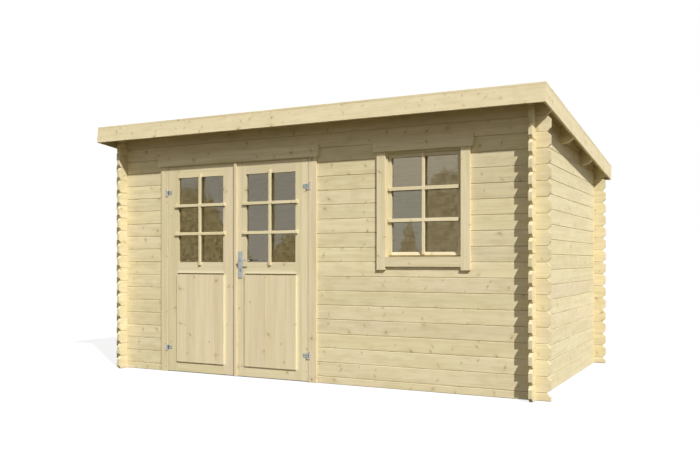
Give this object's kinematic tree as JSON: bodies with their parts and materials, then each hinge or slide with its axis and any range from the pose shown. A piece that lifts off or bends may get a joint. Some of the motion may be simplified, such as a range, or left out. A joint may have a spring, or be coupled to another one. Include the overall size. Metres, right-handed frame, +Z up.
{
  "type": "log cabin",
  "caption": "Garden log cabin with a mono-pitch boarded roof, overlapping corner logs, a pair of half-glazed doors and a framed window.",
  "frame": {"origin": "on the ground, at the middle of the walls' footprint", "axes": "+X along the front from left to right, -Y the front with the doors, +Z up"},
  "size_m": [4.236, 2.92, 2.2965],
  "materials": {
    "spruce": "planed, untreated spruce logs with small knots",
    "spruce_board": "planed, untreated spruce boards",
    "spruce_joinery": "planed, untreated spruce joinery with few knots",
    "window_pane": "clear float glass",
    "zinc_plate": "bright zinc plate",
    "satin_metal": "satin metal"
  },
  "bodies": {
    "root": {"front_wall_left_logs": "spruce", "front_wall_lower_logs": "spruce", "front_wall_middle_logs": "spruce", "front_wall_right_logs": "spruce", "front_wall_top_logs": "spruce", "back_wall_logs": "spruce", "left_wall_logs": "spruce", "right_wall_logs": "spruce", "purlins": "spruce", "roof_boards": "spruce", "front_fascia": "spruce_board", "back_fascia": "spruce_board", "left_fascia": "spruce_board", "right_fascia": "spruce_board", "edge_battens": "spruce_board", "cover_laths": "spruce_board", "door_jambs": "spruce_joinery", "door_head": "spruce_joinery", "door_threshold": "spruce_joinery", "door_trims": "spruce_board", "door_header": "spruce_board", "hinge_plates": "zinc_plate", "window_frame": "spruce_joinery", "window_sash": "spruce_joinery", "window_glass": "window_pane", "window_trims": "spruce_board", "window_apron": "spruce_board", "window_header": "spruce_board"},
    "left_leaf": {"left_leaf_stiles": "spruce_joinery", "left_leaf_rails": "spruce_joinery", "left_leaf_panel": "spruce_joinery", "left_leaf_glass": "window_pane", "left_leaf_straps": "zinc_plate"},
    "right_leaf": {"right_leaf_stiles": "spruce_joinery", "right_leaf_rails": "spruce_joinery", "right_leaf_panel": "spruce_joinery", "right_leaf_glass": "window_pane", "right_leaf_straps": "zinc_plate", "right_leaf_astragal": "spruce_joinery", "handle_plates": "satin_metal"},
    "handle": {"lever_handle": "satin_metal"}
  },
  "joints": [
    {"name": "left_door_hinge", "type": "hinge", "parent": "root", "child": "left_leaf", "pos_m": [-1.448, -1.245, 0.946], "axis": [0, 0, -1], "range_deg": [0, 150]},
    {"name": "right_door_hinge", "type": "hinge", "parent": "root", "child": "right_leaf", "pos_m": [0.06, -1.245, 0.946], "axis": [0, 0, 1], "range_deg": [0, 150]},
    {"name": "handle_turn", "type": "hinge", "parent": "right_leaf", "child": "handle", "pos_m": [-0.628, -1.236, 1.034], "axis": [0, 1, 0], "range_deg": [0, 35], "stiffness_Nm_per_rad": 0.8, "springref_deg": -20.05}
  ]
}
